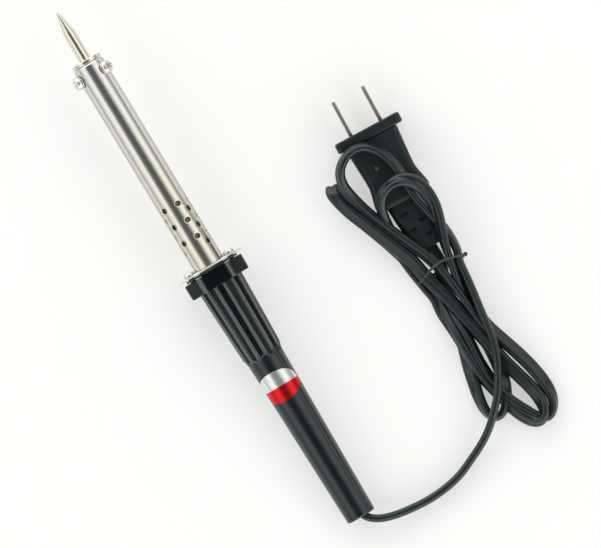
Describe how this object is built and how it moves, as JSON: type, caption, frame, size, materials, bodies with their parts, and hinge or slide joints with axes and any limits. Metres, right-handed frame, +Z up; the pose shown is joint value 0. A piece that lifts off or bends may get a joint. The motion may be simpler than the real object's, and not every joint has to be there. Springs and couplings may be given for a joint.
{
  "type": "soldering iron",
  "caption": "Pencil soldering iron with vented barrel, guard plate, fluted handle and a flat cord folded into a hank with a two-blade plug.",
  "frame": {"origin": "on the resting surface, below the middle of the iron (cord and plug left out)", "axes": "X along the iron, tip at -X and handle end at +X; +Y towards the cord and plug; +Z up"},
  "size_m": [0.2314, 0.1044, 0.0269],
  "materials": {
    "tip_plate": "polished plating, warm",
    "nickel": "polished nickel plate, turned",
    "screw_steel": "zinc plated",
    "plain_steel": "bare",
    "mica": "brown sheet, matte",
    "ceramic": "matte",
    "gasket_board": "dark fibre board",
    "black_plastic": "glossy black moulding",
    "foil": "foil, silver over red",
    "glass_braid": "woven glass sleeve",
    "black_vinyl": "soft black vinyl",
    "plug_brass": "nickel plated brass",
    "tie_wire": "black coated wire"
  },
  "bodies": {
    "iron": {"front_cap": "nickel", "barrel": "nickel", "clamp_washer_1": "screw_steel", "clamp_washer_2": "screw_steel", "clamp_washer_3": "screw_steel", "heater_core": "plain_steel", "heater_winding": "ceramic", "heater_wrap": "mica", "rear_bushing": "ceramic", "flange_plate": "nickel", "flange_gasket": "gasket_board", "flange_screw_1": "screw_steel", "flange_screw_2": "screw_steel", "handle": "black_plastic", "handle_label": "foil", "heater_lead_1": "plain_steel", "heater_lead_2": "plain_steel", "lead_sleeve_1": "glass_braid", "lead_sleeve_2": "glass_braid", "splice_1": "plain_steel", "splice_2": "plain_steel", "cord_conductor_1": "black_vinyl", "cord_conductor_2": "black_vinyl", "cord_tail": "black_vinyl", "cord_clip": "gasket_board", "cord_lead": "black_vinyl", "cord_outer_loop": "black_vinyl", "cord_inner_loop": "black_vinyl", "cord_hank": "black_vinyl", "cord_tie": "tie_wire", "plug_lead": "black_vinyl", "plug_body": "black_vinyl", "plug_strain_relief": "black_vinyl", "plug_blade_1": "plug_brass", "plug_blade_2": "plug_brass"},
    "tip": {"tip": "tip_plate"},
    "clamp_screw_1": {"clamp_screw_1": "screw_steel"},
    "clamp_screw_2": {"clamp_screw_2": "screw_steel"},
    "clamp_screw_3": {"clamp_screw_3": "screw_steel"}
  },
  "joints": [
    {"name": "tip_slide", "type": "slide", "parent": "iron", "child": "tip", "axis": [-0.9976, 0, 0.0694], "range_m": [-0.008, 0.062]},
    {"name": "clamp_screw_1_turn", "type": "hinge", "parent": "iron", "child": "clamp_screw_1", "pos_m": [-0.08357, 0, 0.01931], "axis": [0.0446, 0.766, 0.6412], "range_deg": [0, 720]},
    {"name": "clamp_screw_2_turn", "type": "hinge", "parent": "iron", "child": "clamp_screw_2", "pos_m": [-0.08357, 0, 0.01931], "axis": [-0.0683, 0.1736, -0.9824], "range_deg": [0, 720]},
    {"name": "clamp_screw_3_turn", "type": "hinge", "parent": "iron", "child": "clamp_screw_3", "pos_m": [-0.08357, 0, 0.01931], "axis": [0.0237, -0.9397, 0.3412], "range_deg": [0, 720]}
  ]
}
